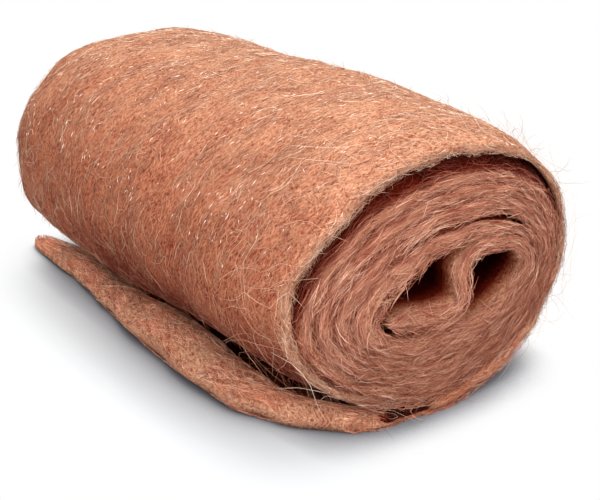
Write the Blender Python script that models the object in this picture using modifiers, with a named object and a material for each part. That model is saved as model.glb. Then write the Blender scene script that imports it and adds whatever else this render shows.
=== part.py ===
"""A roll of fine copper wool lying on its side: one matted strip, wound up, with its loose end under it.

Units are metres and +Z is up. The roll's axis runs along Y, the open end that shows the turns faces -Y,
and the loose end of the strip comes out under the roll on the -X side. The underside is the plane z = 0.
"""

import math

import bmesh
import bpy

NODE_NAME = "copper_wool_roll"

# The strip and the roll that it is wound into
STRIP_WIDTH = 0.100
ROLL_WIDTH = 0.0716
ROLL_HEIGHT = 0.0527
WIDTH_TAPER = 0.0036
NEAR_TUCK = 0.0044
FAR_TUCK = 0.0024
TUCK_SHARPNESS = 7
FAR_SQUARENESS = 0.28

# The mat of wool: its loft, and how much thicker it lies on some sides of the roll
MAT_LOFT = 0.0026
LOFT_SWELL = 0.00046
SWELL_SIDE = math.radians(310)
LOFT_LEAN = 0.00022
LEAN_SIDE = math.radians(45)
EDGE_LOFT_SHARE = 0.85
TURN_GAP = 0.00055

# How deep the wool is pressed flat where it lies on the bench
FLAT_PRESS = 0.0006

# Where the whole roll is pressed in: from and to winding angle, from and to place towards the near end, and depth
PRESSED = [
    (math.radians(250), math.radians(360), -0.30, 0.60, 0.0037),
    (math.radians(5), math.radians(150), 0.20, 1.00, 0.0013),
]
PRESSED_THINNING = 2.4

# Where the turns lie apart: the slack outer turn, which stands up at the near end, and a crease above the hollow
SLACK_RISE = 0.0029
SLACK_FROM = math.radians(60)
SLACK_TO = math.radians(300)
CRESCENT_GAP = 0.0010
CRESCENT_FROM = math.radians(415)
CRESCENT_TO = math.radians(655)
CREASE_GAP = 0.0014
CREASE_FROM = math.radians(1510)
CREASE_TO = math.radians(1680)
SAG_LOFT = 0.0016
SAG_FROM = math.radians(1600)
SAG_TO = math.radians(1770)

# How far the turns are wound, counted from the floor contact, and how they slide out of the end
WINDING_END = math.radians(1925)
CLIMB_FROM = math.radians(235)
SLIDE_PER_TURN = 0.0009
FULL_TURN = 2 * math.pi

# The strip's last stretch, folded over inside the hollow, as shares of the hollow's half width and height
FOLD_POINTS = [(0.46, 0.80), (0.21, 0.56), (0.20, 0.26), (0.16, -0.16), (-0.12, -0.27), (-0.44, -0.20), (-0.68, -0.06)]
FOLD_LEAD = math.radians(21)
FOLD_LOFT = 0.0026
FOLD_END_LOFT = 0.0036

# The loose end, which lies on the bench and is bunched up into a ridge along its torn edge: how far that edge
# reaches at each place across the strip, from -1 to 1
TAIL_EDGE = [
    (-1.0, 0.0176), (-0.96, 0.0192), (-0.84, 0.0246), (-0.72, 0.0276), (-0.62, 0.0300), (-0.50, 0.0308),
    (-0.24, 0.0310), (0.0, 0.0304), (0.20, 0.0292), (0.60, 0.0262), (0.86, 0.0250), (0.97, 0.0248), (1.0, 0.0238),
]
TAIL_LOFT = 0.0086
TAIL_CORNER_LOFT = 0.0052
TAIL_RIDGE = [(-1.0, 0.0), (-0.80, 0.2), (-0.62, 0.55), (-0.30, 0.95), (0.0, 1.0), (0.20, 0.6), (0.45, 0.1), (1.0, 0.0)]
TAIL_FAR_LOFT_SHARE = 0.55
TAIL_SWELL_FROM = 0.0192
TAIL_SWELL_TO = 0.0250
TAIL_TIP_LOFT = 0.0030
TAIL_RETREAT = 0.0030
TAIL_WISP = 0.0050
TAIL_NOTCH = 0.0045

# Where the wrap swells out or sinks in: from and to winding angle, from and to place along the axis, and rise
SWELLS = [
    (math.radians(55), math.radians(215), -0.036, 0.022, 0.0013),
    (math.radians(55), math.radians(215), 0.006, 0.054, -0.0009),
    (math.radians(60), math.radians(200), -0.060, -0.026, -0.0010),
    (math.radians(165), math.radians(250), 0.014, 0.086, 0.0014),
    (math.radians(213), math.radians(292), 0.008, 0.092, -0.0009),
]

# The soft waves that run over the wrap: length along the strip and across it, start, and height
WAVES = [
    (0.041, 0.023, 0.4, 0.00015),
    (-0.030, 0.031, 2.1, 0.00015),
    (0.068, -0.019, 3.9, 0.00013),
    (-0.024, 0.052, 5.2, 0.00012),
    (0.019, 0.038, 1.3, 0.00010),
]
UNEVEN_FROM = math.radians(45)
UNEVEN_TO = math.radians(285)
UNEVEN_FADE = math.radians(40)

# How finely the solid is divided: along the strip, and the places across it from -1 to 1
OUTER_STEP = math.radians(360 / 34)
INNER_STEP = math.radians(360 / 24)
INNER_FROM = math.radians(720)
FOLD_STEPS = 18
TAIL_STEPS = 10
STATIONS = [
    -1.0, -0.96, -0.86, -0.72, -0.58, -0.44, -0.30, -0.16, -0.02, 0.12, 0.26, 0.40, 0.55, 0.70, 0.85, 0.97, 1.0,
]


def smooth_step(value, low, high):
    """0 below low and 1 above high, easing in between."""
    share = min(1.0, max(0.0, (value - low) / (high - low)))
    return share * share * (3 - 2 * share)


def hump(angle, start, end):
    """Rises from 0 at start to 1 half way and falls back to 0 at end."""
    if not start < angle < end:
        return 0.0
    return math.sin(math.pi * (angle - start) / (end - start)) ** 2


def mat_loft(angle):
    """Thickness of the mat at a winding angle."""
    swell = LOFT_SWELL * math.cos(angle - SWELL_SIDE)
    lean = LOFT_LEAN * math.cos(2 * (angle - LEAN_SIDE))
    return MAT_LOFT + swell + lean + SAG_LOFT * hump(angle, SAG_FROM, SAG_TO)


def gap_outside(angle):
    """Air between the turn at this angle and the turn that lies outside it."""
    crescent = CRESCENT_GAP * hump(angle, CRESCENT_FROM, CRESCENT_TO)
    crease = CREASE_GAP * hump(angle, CREASE_FROM, CREASE_TO)
    return TURN_GAP + crescent + crease


def outer_depth(angle):
    """Depth of the mat's outer face below the roll's outside, each turn lying inside the one before it."""
    if angle < FULL_TURN:
        climb = smooth_step(angle, CLIMB_FROM, FULL_TURN)
        return climb * (mat_loft(0.0) + gap_outside(FULL_TURN))
    outside = angle - FULL_TURN
    return outer_depth(outside) + mat_loft(outside) + gap_outside(angle)


def hollow_size():
    """Half width and half height of the hollow that the winding leaves."""
    depth = outer_depth(WINDING_END) + mat_loft(WINDING_END)
    return ROLL_WIDTH / 2 - depth, ROLL_HEIGHT / 2 - depth


def curve_through(points, steps):
    """Evenly shared points on a smooth (Catmull-Rom) curve from the second point to the last but one."""
    spans = len(points) - 3
    curve = []
    for step in range(1, steps + 1):
        place = spans * step / steps
        span = min(int(place), spans - 1)
        t = place - span
        before, start, end, after = points[span : span + 4]
        curve.append(
            tuple(
                0.5 * (2 * b + (c - a) * t + (2 * a - 5 * b + 4 * c - d) * t**2 + (3 * b - a - 3 * c + d) * t**3)
                for a, b, c, d in zip(before, start, end, after)
            )
        )
    return curve


def section_point(angle):
    """A point of the strip's middle line in section, as (x, z, loft, angle), measured from the roll's axis."""
    depth = outer_depth(angle) + mat_loft(angle) / 2
    x = (ROLL_WIDTH / 2 - depth) * math.sin(angle)
    z = -(ROLL_HEIGHT / 2 - depth) * math.cos(angle)
    return x, z, mat_loft(angle), angle


def winding():
    """The strip's middle line in section, from the floor contact to the end of the turns."""
    outer_steps = round(INNER_FROM / OUTER_STEP)
    inner_steps = round((WINDING_END - INNER_FROM) / INNER_STEP)
    angles = [INNER_FROM * step / outer_steps for step in range(outer_steps)]
    angles += [INNER_FROM + (WINDING_END - INNER_FROM) * step / inner_steps for step in range(inner_steps + 1)]
    return [section_point(angle) for angle in angles]


def fold(turns):
    """The strip's inner end, bent back on itself in the hollow."""
    half_width, half_height = hollow_size()
    last = turns[-1]
    bends = [(x * half_width, z * half_height) for x, z in FOLD_POINTS]
    before, start = section_point(WINDING_END - FOLD_LEAD)[:2], last[:2]
    beyond = tuple(2 * end - other for end, other in zip(bends[-1], bends[-2]))
    line = []
    for step, (x, z) in enumerate(curve_through([before, start, *bends, beyond], FOLD_STEPS), 1):
        share = step / FOLD_STEPS
        loft = last[2] + (FOLD_LOFT - last[2]) * smooth_step(share, 0, 0.3)
        loft += (FOLD_END_LOFT - FOLD_LOFT) * smooth_step(share, 0.5, 0.8)
        loft *= 1 - 0.35 * smooth_step(share, 0.85, 1.0)
        line.append((x, z, loft, last[3]))
    return line


def girth(y):
    """The roll's girth at a place along its axis, as a share of its girth at the middle."""
    along = y / (STRIP_WIDTH / 2)
    tuck = NEAR_TUCK if along < 0 else FAR_TUCK
    half_width = ROLL_WIDTH / 2 - WIDTH_TAPER * along - tuck * abs(along) ** TUCK_SHARPNESS
    return half_width / (ROLL_WIDTH / 2)


def axis_height(share):
    """Height of the roll's axis above the bench where the girth is this share of the middle's."""
    return ROLL_HEIGHT / 2 * (min(share, 1.0) + 1) / 2


def edge_share(along):
    """The mat thins towards its two long edges."""
    return EDGE_LOFT_SHARE + (1 - EDGE_LOFT_SHARE) * (1 - abs(along) ** 14)


def pressed(angle, along):
    """How far the whole roll, with its turns, is pressed in at a winding angle, as a share of its half width."""
    return sum(
        depth / (ROLL_WIDTH / 2) * hump(angle % FULL_TURN, angle_from, angle_to) * smooth_step(-along, start, end)
        for angle_from, angle_to, start, end, depth in PRESSED
    )


def bulge(angle, along):
    """How much further out the strip lies at a winding angle than the plain oval, as a factor.

    The far end is squarer than an oval, and the slack outer turn stands up at the near end.
    """
    power = 2 + FAR_SQUARENESS * smooth_step(along, 0, 1)
    square = (abs(math.sin(angle)) ** power + abs(math.cos(angle)) ** power) ** (-1 / power)
    slack = SLACK_RISE / (ROLL_WIDTH / 2) * hump(angle, SLACK_FROM, SLACK_TO) * smooth_step(-along, 0.2, 1)
    return (square + slack) * (1 - pressed(angle, along))


def unevenness(angle, along):
    """How far the wrap's outer face stands out past an even roll, at a winding angle and a place across."""
    if angle >= FULL_TURN:
        return 0.0
    y = along * STRIP_WIDTH / 2
    run = angle * (ROLL_WIDTH + ROLL_HEIGHT) / 4
    rise = sum(
        height * hump(angle, angle_from, angle_to) * hump(y, y_from, y_to)
        for angle_from, angle_to, y_from, y_to, height in SWELLS
    )
    for length, width, start, height in WAVES:
        rise += height * math.sin(FULL_TURN * (run / length + y / width) + start)
    come = smooth_step(angle, UNEVEN_FROM - UNEVEN_FADE, UNEVEN_FROM)
    return rise * come * (1 - smooth_step(angle, UNEVEN_TO, UNEVEN_TO + UNEVEN_FADE))


def place_turn(point, along):
    """A point of the winding, at a place across the strip from -1 to 1, as (x, y, z, loft)."""
    x, z, loft, angle = point
    rise_out = unevenness(angle, along)
    y = along * STRIP_WIDTH / 2 - SLIDE_PER_TURN * angle / FULL_TURN
    share = girth(max(-STRIP_WIDTH / 2, min(STRIP_WIDTH / 2, y)))
    height = axis_height(share)
    lower = height / (ROLL_HEIGHT / 2)
    out = bulge(angle, along) + rise_out / 2 / (ROLL_WIDTH / 2)
    rise = z * out * (lower if z < 0 else share)
    loft *= min(share, lower) * edge_share(along) * (1 - PRESSED_THINNING * pressed(angle, along))
    return x * share * out, y, height + rise, loft + rise_out


def read_list(points, along):
    """Reads a list of (place, value) at a place across the strip, straight between its points."""
    for (start, from_value), (end, to_value) in zip(points, points[1:]):
        if along <= end:
            return from_value + (to_value - from_value) * (along - start) / (end - start)
    return points[-1][1]


def place_tail(step, along):
    """A point of the loose end, from its tip at step 0 to the floor contact, as (x, y, z, loft)."""
    contact = place_turn(winding()[0], along)
    to_tip = 1 - step / TAIL_STEPS
    edge = read_list(TAIL_EDGE, along)
    reach = edge * to_tip
    ridge = TAIL_CORNER_LOFT + (TAIL_LOFT - TAIL_CORNER_LOFT) * read_list(TAIL_RIDGE, along)
    swell = smooth_step(reach, min(TAIL_SWELL_FROM, edge - 0.008), min(TAIL_SWELL_TO, edge - 0.003))
    loft = MAT_LOFT + (ridge - MAT_LOFT) * swell
    loft += (TAIL_TIP_LOFT - loft) * smooth_step(to_tip, 0.84, 1.0)
    loft *= 1 - (1 - TAIL_FAR_LOFT_SHARE) * smooth_step(along, 0.5, 1) * smooth_step(to_tip, 0.3, 0.8)
    loft = contact[3] + (loft * edge_share(along) - contact[3]) * smooth_step(to_tip, 0, 0.3)
    notch = smooth_step(to_tip, 0.2, 0.5) * (1 - smooth_step(to_tip, 0.72, 0.9)) * smooth_step(along, 0.75, 1)
    wisp = smooth_step(to_tip, 0.78, 0.95) * smooth_step(along, 0.7, 1)
    y = contact[1] + TAIL_RETREAT * to_tip * (1 - along) / 2 + TAIL_WISP * wisp - TAIL_NOTCH * notch
    return -reach, y, loft / 2, loft


def middle_surface():
    """The strip's middle surface as rows of (x, y, z, loft), one row for each place along its length."""
    turns = winding()
    rows = [[place_tail(step, along) for along in STATIONS] for step in range(TAIL_STEPS)]
    rows += [[place_turn(point, along) for along in STATIONS] for point in turns + fold(turns)]
    return rows


def make_strip(rows):
    """The strip's middle surface as a mesh object, thickened by Solidify to its local loft."""
    shape = bmesh.new()
    weights = shape.verts.layers.deform.verify()
    thickest = max(loft for row in rows for *_, loft in row)
    grid = []
    for row in rows:
        grid.append([])
        for x, y, z, loft in row:
            vert = shape.verts.new((x, y, z))
            vert[weights][0] = loft / thickest
            grid[-1].append(vert)
    for row, following in zip(grid, grid[1:]):
        for place in range(len(STATIONS) - 1):
            shape.faces.new((row[place], following[place], following[place + 1], row[place + 1]))
    mesh = bpy.data.meshes.new(NODE_NAME)
    shape.to_mesh(mesh)
    shape.free()
    strip = bpy.data.objects.new(NODE_NAME, mesh)
    strip.vertex_groups.new(name="loft")
    thicken = strip.modifiers.new("loft", "SOLIDIFY")
    thicken.thickness = thickest
    thicken.offset = 0
    thicken.vertex_group = "loft"
    thicken.use_even_offset = True
    return strip


def settle(strip):
    """Applies the thickness, presses the underside flat on the bench and centres the roll over the origin."""
    bpy.context.view_layer.update()
    graph = bpy.context.evaluated_depsgraph_get()
    mesh = bpy.data.meshes.new_from_object(strip.evaluated_get(graph))
    strip.modifiers.clear()
    strip.data = mesh
    for vert in mesh.vertices:
        vert.co.z = max(vert.co.z - FLAT_PRESS, 0.0)
    for axis in (0, 1):
        places = [vert.co[axis] for vert in mesh.vertices]
        middle = (min(places) + max(places)) / 2
        for vert in mesh.vertices:
            vert.co[axis] -= middle


def copper():
    """Bright copper wool: rough as a whole, because its fibres point every way."""
    material = bpy.data.materials.new("copper_wool")
    material.use_nodes = True
    shader = material.node_tree.nodes["Principled BSDF"]
    shader.inputs["Base Color"].default_value = (0.48, 0.17, 0.10, 1)
    shader.inputs["Metallic"].default_value = 0.8
    shader.inputs["Roughness"].default_value = 0.55
    return material


def main():
    for old in list(bpy.data.objects):
        bpy.data.objects.remove(old)
    collection = bpy.data.collections.new(NODE_NAME)
    bpy.context.scene.collection.children.link(collection)
    strip = make_strip(middle_surface())
    collection.objects.link(strip)
    settle(strip)
    strip.data.materials.append(copper())
    strip.data.shade_smooth()


main()
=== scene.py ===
"""A roll of fine copper wool: the matted strip, wound up, and the fibres that lie on it and stray from it."""

import logging
import math
from dataclasses import dataclass, field
from enum import Enum
from functools import partial

import bpy
import numpy as np
from bpy.types import Material, Mesh, Node, NodeSocket, NodeTree, Object
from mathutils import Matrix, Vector


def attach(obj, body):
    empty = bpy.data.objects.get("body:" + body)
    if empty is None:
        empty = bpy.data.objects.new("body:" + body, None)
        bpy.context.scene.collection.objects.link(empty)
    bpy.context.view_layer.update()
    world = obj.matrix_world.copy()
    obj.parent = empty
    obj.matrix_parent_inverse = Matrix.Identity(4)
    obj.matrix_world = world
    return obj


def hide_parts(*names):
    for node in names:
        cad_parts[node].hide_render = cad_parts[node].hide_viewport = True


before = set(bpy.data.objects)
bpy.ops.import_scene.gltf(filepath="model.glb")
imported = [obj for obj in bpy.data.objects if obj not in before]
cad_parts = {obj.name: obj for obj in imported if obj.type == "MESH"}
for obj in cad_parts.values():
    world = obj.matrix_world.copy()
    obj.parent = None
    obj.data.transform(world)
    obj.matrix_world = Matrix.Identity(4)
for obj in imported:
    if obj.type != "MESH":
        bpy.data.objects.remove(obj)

log = logging.getLogger("copper_wool_roll")

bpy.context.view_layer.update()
BODY = "root"
NODE = "copper_wool_roll"
MM = 0.001
FULL_TURN = 2 * math.pi
CELL_MARGIN = 0.2  # Of a fibre's cell on the map for baking
Array = np.ndarray
Span = tuple[float, float]
Point = tuple[float, float, float]
Table = tuple[tuple[float, ...], ...]


def linear(hex_colour: str) -> tuple[float, float, float, float]:
    """Turns an sRGB hex colour into the linear colour that a shader takes.

    Args:
        hex_colour: Six hex digits, such as "c87850".

    Returns:
        Red, green, blue and an alpha of 1.
    """
    parts = [int(hex_colour[place : place + 2], 16) / 255 for place in (0, 2, 4)]
    return (*[part / 12.92 if part <= 0.04045 else ((part + 0.055) / 1.055) ** 2.4 for part in parts], 1.0)


def add_node(tree: NodeTree, kind: str, settings: dict | None = None, **links: object) -> Node:
    """Adds a node with its settings and its inputs.

    Args:
        tree: The node tree that it goes in.
        kind: The node's type name.
        settings: Properties of the node to set before its inputs.
        **links: An input's name, spaces as underscores and a trailing number as its place, with an
            output to link it to or a value to give it.

    Returns:
        The new node.
    """
    node = tree.nodes.new(kind)
    for name, value in (settings or {}).items():
        setattr(node, name, value)
    for name, value in links.items():
        place = name.rsplit("_", 1)[-1]
        socket = node.inputs[int(place)] if place.isdigit() else node.inputs[name.replace("_", " ")]
        if isinstance(value, NodeSocket):
            tree.links.new(value, socket)
        else:
            socket.default_value = value
    return node


def maths(tree: NodeTree, operation: str, *values: object) -> NodeSocket:
    """Adds a math node.

    Args:
        tree: The node tree that it goes in.
        operation: What it works out.
        *values: Its inputs: outputs to link to, or values to give.

    Returns:
        Its result.
    """
    inputs = {f"Value_{place}": value for place, value in enumerate(values)}
    return add_node(tree, "ShaderNodeMath", {"operation": operation}, **inputs).outputs["Value"]


def eased(tree: NodeTree, value: NodeSocket, span: Span, bottom: float = 0.0) -> NodeSocket:
    """Adds a range that eases up to 1.

    Args:
        tree: The node tree that it goes in.
        value: What it reads.
        span: The values between which it eases.
        bottom: Its result below the span.

    Returns:
        Its result.
    """
    links = dict(Value=value, From_Min=span[0], From_Max=span[1], To_Min=bottom)
    return add_node(tree, "ShaderNodeMapRange", {"interpolation_type": "SMOOTHSTEP"}, **links).outputs["Result"]


def colour_ramp(tree: NodeTree, share: NodeSocket, *stops: tuple[float, str]) -> NodeSocket:
    """Adds a ramp of colours.

    Args:
        tree: The node tree that it goes in.
        share: The value that picks the colour.
        *stops: Each colour's place on the ramp and its sRGB hex value, in order.

    Returns:
        The picked colour.
    """
    ramp = add_node(tree, "ShaderNodeValToRGB", Fac=share)
    points = ramp.color_ramp.elements
    for point, (place, colour) in zip(points, (stops[0], stops[-1])):
        point.position = place
        point.color = linear(colour)
    for place, colour in stops[1:-1]:
        points.new(place).color = linear(colour)
    return ramp.outputs["Color"]


def read_points(mesh: Mesh) -> Array:
    """Reads where a mesh's vertices are.

    Args:
        mesh: The mesh to read.

    Returns:
        A row of x, y and z for each vertex.
    """
    places = np.empty(len(mesh.vertices) * 3, np.float32)
    mesh.vertices.foreach_get("co", places)
    return places.reshape(-1, 3)


def degrees(*values: float) -> tuple[float, ...]:
    """Turns angles in degrees into radians."""
    return tuple(math.radians(value) for value in values)


def smooth_step(value: Array | float, low: float, high: float) -> Array:
    """Returns 0 below low and 1 above high, easing in between."""
    share = np.clip((np.asarray(value, float) - low) / (high - low), 0.0, 1.0)
    return share * share * (3 - 2 * share)


def hump(value: Array, start: float, end: float) -> Array:
    """Returns a rise from 0 at start to 1 half way and back to 0 at end."""
    share = np.clip((value - start) / (end - start), 0.0, 1.0)
    return np.sin(math.pi * share) ** 2


class Ripple:
    """A soft, uneven field over the strip, made of many low waves that run in different directions."""

    def __init__(self, seed: int, along_mm: Span, across_mm: Span, waves: int = 28) -> None:
        """Draws the waves.

        Args:
            seed: Seed of the random draw.
            along_mm: Shortest and longest wave along the strip.
            across_mm: Shortest and longest wave across it.
            waves: How many waves are added together.
        """
        draw = np.random.default_rng(seed)
        self.along = draw.choice([-1, 1], waves) / (draw.uniform(*along_mm, waves) * MM)
        self.across = 1 / (draw.uniform(*across_mm, waves) * MM)
        self.phase = draw.uniform(0, FULL_TURN, waves)

    def at(self, s: Array, y: Array) -> Array:
        """Reads the field, which is about -1 to 1.

        Args:
            s: Places along the strip, in metres.
            y: Places across it, in metres.

        Returns:
            The field's value at each place.
        """
        s, y = np.broadcast_arrays(np.asarray(s, float), np.asarray(y, float))
        total = np.zeros(s.shape)
        for along, across, phase in zip(self.along, self.across, self.phase):
            total += np.sin(FULL_TURN * (s * along + y * across) + phase)
        return total / math.sqrt(len(self.phase))


@dataclass(frozen=True)
class Winding:
    """How the strip is wound: the same sizes as the solid's, in metres and radians.

    The rows of pressed_places and swells give a span of winding angles in degrees, a span across the strip and a
    depth or a height. Those of waves give a length, a width, a start and a height.
    """

    strip_width: float = 0.100
    roll_width: float = 0.0716
    roll_height: float = 0.0527
    width_taper: float = 0.0036
    near_tuck: float = 0.0044
    far_tuck: float = 0.0024
    tuck_sharpness: float = 7
    far_squareness: float = 0.28
    loft: float = 0.0026
    loft_swell: float = 0.00046
    swell_side: float = math.radians(310)
    loft_lean: float = 0.00022
    lean_side: float = math.radians(45)
    turn_gap: float = 0.00055
    slack_rise: float = 0.0029
    slack: Span = degrees(60, 300)
    pressed_places: Table = ((250, 360, -0.30, 0.60, 0.0037), (5, 150, 0.20, 1.00, 0.0013))
    pressed_thinning: float = 2.4
    crescent_gap: float = 0.0010
    crescent: Span = degrees(415, 655)
    crease_gap: float = 0.0014
    crease: Span = degrees(1510, 1680)
    sag_loft: float = 0.0016
    sag: Span = degrees(1600, 1770)
    end: float = math.radians(1925)
    climb_from: float = math.radians(235)
    slide_per_turn: float = 0.0009
    fold_points: Table = (
        (0.46, 0.80), (0.21, 0.56), (0.20, 0.26), (0.16, -0.16), (-0.12, -0.27), (-0.44, -0.20), (-0.68, -0.06),
    )
    fold_lead: float = math.radians(21)
    fold_loft: float = 0.0026
    fold_end_loft: float = 0.0036
    fold_end_thinning: float = 0.35
    tail_edge: Table = (
        (-1.0, 0.0176), (-0.96, 0.0192), (-0.84, 0.0246), (-0.72, 0.0276), (-0.62, 0.0300), (-0.50, 0.0308),
        (-0.24, 0.0310), (0.0, 0.0304), (0.20, 0.0292), (0.60, 0.0262), (0.86, 0.0250), (0.97, 0.0248),
        (1.0, 0.0238),
    )
    tail_loft: float = 0.0086
    tail_corner_loft: float = 0.0052
    tail_ridge: Table = (
        (-1.0, 0.0), (-0.80, 0.2), (-0.62, 0.55), (-0.30, 0.95), (0.0, 1.0), (0.20, 0.6), (0.45, 0.1), (1.0, 0.0),
    )
    tail_swell: Span = (0.0192, 0.0250)
    tail_far_share: float = 0.55
    tail_retreat: float = 0.0030
    tail_wisp: float = 0.0050
    tail_notch: float = 0.0045
    swells: Table = (
        (55, 215, -0.036, 0.022, 0.0013),
        (55, 215, 0.006, 0.054, -0.0009),
        (60, 200, -0.060, -0.026, -0.0010),
        (165, 250, 0.014, 0.086, 0.0014),
        (213, 292, 0.008, 0.092, -0.0009),
    )
    waves: Table = (
        (0.041, 0.023, 0.4, 0.00015),
        (-0.030, 0.031, 2.1, 0.00015),
        (0.068, -0.019, 3.9, 0.00013),
        (-0.024, 0.052, 5.2, 0.00012),
        (0.019, 0.038, 1.3, 0.00010),
    )
    uneven: Span = degrees(45, 285)
    uneven_fade: float = math.radians(40)
    press: float = 0.0006
    centre_shift: Span = (-0.00030117, -0.00012947)

    def mat_loft(self, angle: Array) -> Array:
        """Finds the mat's thickness.

        Args:
            angle: Winding angles from the floor contact.

        Returns:
            The thickness at each, in metres.
        """
        swell = self.loft_swell * np.cos(angle - self.swell_side)
        lean = self.loft_lean * np.cos(2 * (angle - self.lean_side))
        return self.loft + swell + lean + self.sag_loft * hump(angle, *self.sag)

    def gap_outside(self, angle: Array) -> Array:
        """Returns the air between the turn at each angle and the turn outside it."""
        crescent = self.crescent_gap * hump(angle, *self.crescent)
        return self.turn_gap + crescent + self.crease_gap * hump(angle, *self.crease)

    def outer_depth(self, angle: Array) -> Array:
        """Finds how far the mat's outer face lies inside the roll's outside.

        Args:
            angle: Winding angles from the floor contact.

        Returns:
            The depth at each, in metres.
        """
        place = np.array(angle, float)
        depth = np.zeros(place.shape)
        while (place >= FULL_TURN).any():
            inner = place >= FULL_TURN
            depth += np.where(inner, self.mat_loft(place - FULL_TURN) + self.gap_outside(place), 0.0)
            place = np.where(inner, place - FULL_TURN, place)
        first = self.mat_loft(np.array(0.0)) + self.gap_outside(np.array(FULL_TURN))
        return depth + smooth_step(place, self.climb_from, FULL_TURN) * first

    def section(self, angle: Array) -> Array:
        """Finds the mat's middle line in section.

        Args:
            angle: Winding angles from the floor contact.

        Returns:
            One row of x, z, loft and angle for each, measured from the roll's axis.
        """
        loft = self.mat_loft(angle)
        depth = self.outer_depth(angle) + loft / 2
        x = (self.roll_width / 2 - depth) * np.sin(angle)
        z = -(self.roll_height / 2 - depth) * np.cos(angle)
        return np.stack([x, z, loft, angle], 1)

    def fold(self, steps: int) -> Array:
        """Finds the strip's inner end, bent back on itself in the hollow.

        Args:
            steps: How many points it gets.

        Returns:
            One row of x, z, loft and angle for each.
        """
        inside = self.outer_depth(np.array([self.end]))[0] + self.mat_loft(np.array([self.end]))[0]
        half = np.array([self.roll_width / 2 - inside, self.roll_height / 2 - inside])
        start = self.section(np.array([self.end - self.fold_lead, self.end]))
        bends = np.array(self.fold_points) * half
        points = np.vstack([start[:, :2], bends, 2 * bends[-1] - bends[-2]])
        share = np.arange(1, steps + 1) / steps
        place = share * (len(points) - 3)
        span = np.minimum(place.astype(int), len(points) - 4)
        t = (place - span)[:, None]
        a, b, c, d = (points[span + ahead] for ahead in range(4))
        line = 0.5 * (2 * b + (c - a) * t + (2 * a - 5 * b + 4 * c - d) * t**2 + (3 * b - a - 3 * c + d) * t**3)
        last = start[-1, 2]
        loft = last + (self.fold_loft - last) * smooth_step(share, 0, 0.3)
        loft += (self.fold_end_loft - self.fold_loft) * smooth_step(share, 0.5, 0.8)
        loft *= 1 - self.fold_end_thinning * smooth_step(share, 0.85, 1.0)
        return np.column_stack([line, loft, np.full(steps, self.end)])

    def girth(self, y: Array) -> Array:
        """Finds the roll's girth.

        Args:
            y: Places along its axis.

        Returns:
            The girth at each, as a share of the middle's.
        """
        along = y / (self.strip_width / 2)
        tuck = np.where(along < 0, self.near_tuck, self.far_tuck)
        half = self.roll_width / 2 - self.width_taper * along - tuck * np.abs(along) ** self.tuck_sharpness
        return half / (self.roll_width / 2)

    def pressed(self, angle: Array, along: Array) -> Array:
        """Finds how far the whole roll is pressed in.

        Args:
            angle: Winding angles from the floor contact.
            along: Places across the strip, from -1 at its near edge to 1 at its far edge.

        Returns:
            The depth at each, as a share of the roll's half width.
        """
        share = np.zeros(np.broadcast_shapes(angle.shape, along.shape))
        for start, end, low, high, depth in self.pressed_places:
            share += hump(angle % FULL_TURN, *degrees(start, end)) * smooth_step(-along, low, high) * depth
        return share / (self.roll_width / 2)

    def bulge(self, angle: Array, along: Array) -> Array:
        """Finds how much further out the strip lies than the plain oval.

        Args:
            angle: Winding angles from the floor contact.
            along: Places across the strip, from -1 at its near edge to 1 at its far edge.

        Returns:
            A factor for each.
        """
        power = 2 + self.far_squareness * smooth_step(along, 0, 1)
        square = (np.abs(np.sin(angle)) ** power + np.abs(np.cos(angle)) ** power) ** (-1 / power)
        slack = self.slack_rise / (self.roll_width / 2) * hump(angle, *self.slack)
        return (square + slack * smooth_step(-along, 0.2, 1)) * (1 - self.pressed(angle, along))

    def unevenness(self, angle: Array, along: Array) -> Array:
        """Finds how far the wrap's outer face stands out past an even roll.

        Args:
            angle: Winding angles.
            along: Places across the strip, from -1 to 1.

        Returns:
            The height at each, in metres.
        """
        y = along * self.strip_width / 2
        run = angle * (self.roll_width + self.roll_height) / 4
        rise = np.zeros(np.broadcast_shapes(angle.shape, along.shape))
        for start, end, low, high, height in self.swells:
            rise += height * hump(angle, *degrees(start, end)) * hump(y, low, high)
        for length, width, start, height in self.waves:
            rise += height * np.sin(FULL_TURN * (run / length + y / width) + start)
        start, end = self.uneven
        come = smooth_step(angle, start - self.uneven_fade, start)
        return rise * come * (1 - smooth_step(angle, end, end + self.uneven_fade))

    def place(self, line: Array, along: Array) -> tuple[Array, Array]:
        """Places the section's points at every place across the strip.

        Args:
            line: Rows of x, z, loft and angle.
            along: Places across the strip, from -1 at its near edge to 1 at its far edge.

        Returns:
            The points, as rows by columns by x, y and z, and the loft at each.
        """
        x, z, loft, angle = (line[:, part][:, None] for part in range(4))
        along = along[None, :]
        half = self.strip_width / 2
        y = along * half - self.slide_per_turn * angle / FULL_TURN
        share = self.girth(np.clip(y, -half, half))
        height = self.roll_height / 2 * (np.minimum(share, 1.0) + 1) / 2
        lower = height / (self.roll_height / 2)
        rise = self.unevenness(angle, along)
        out = self.bulge(angle, along) + rise / self.roll_width
        points = np.stack([x * share * out, y, height + z * out * np.where(z < 0, lower, share)], -1)
        thinned = 1 - self.pressed_thinning * self.pressed(angle, along)
        return points, loft * np.minimum(share, lower) * thinned + rise

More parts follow.
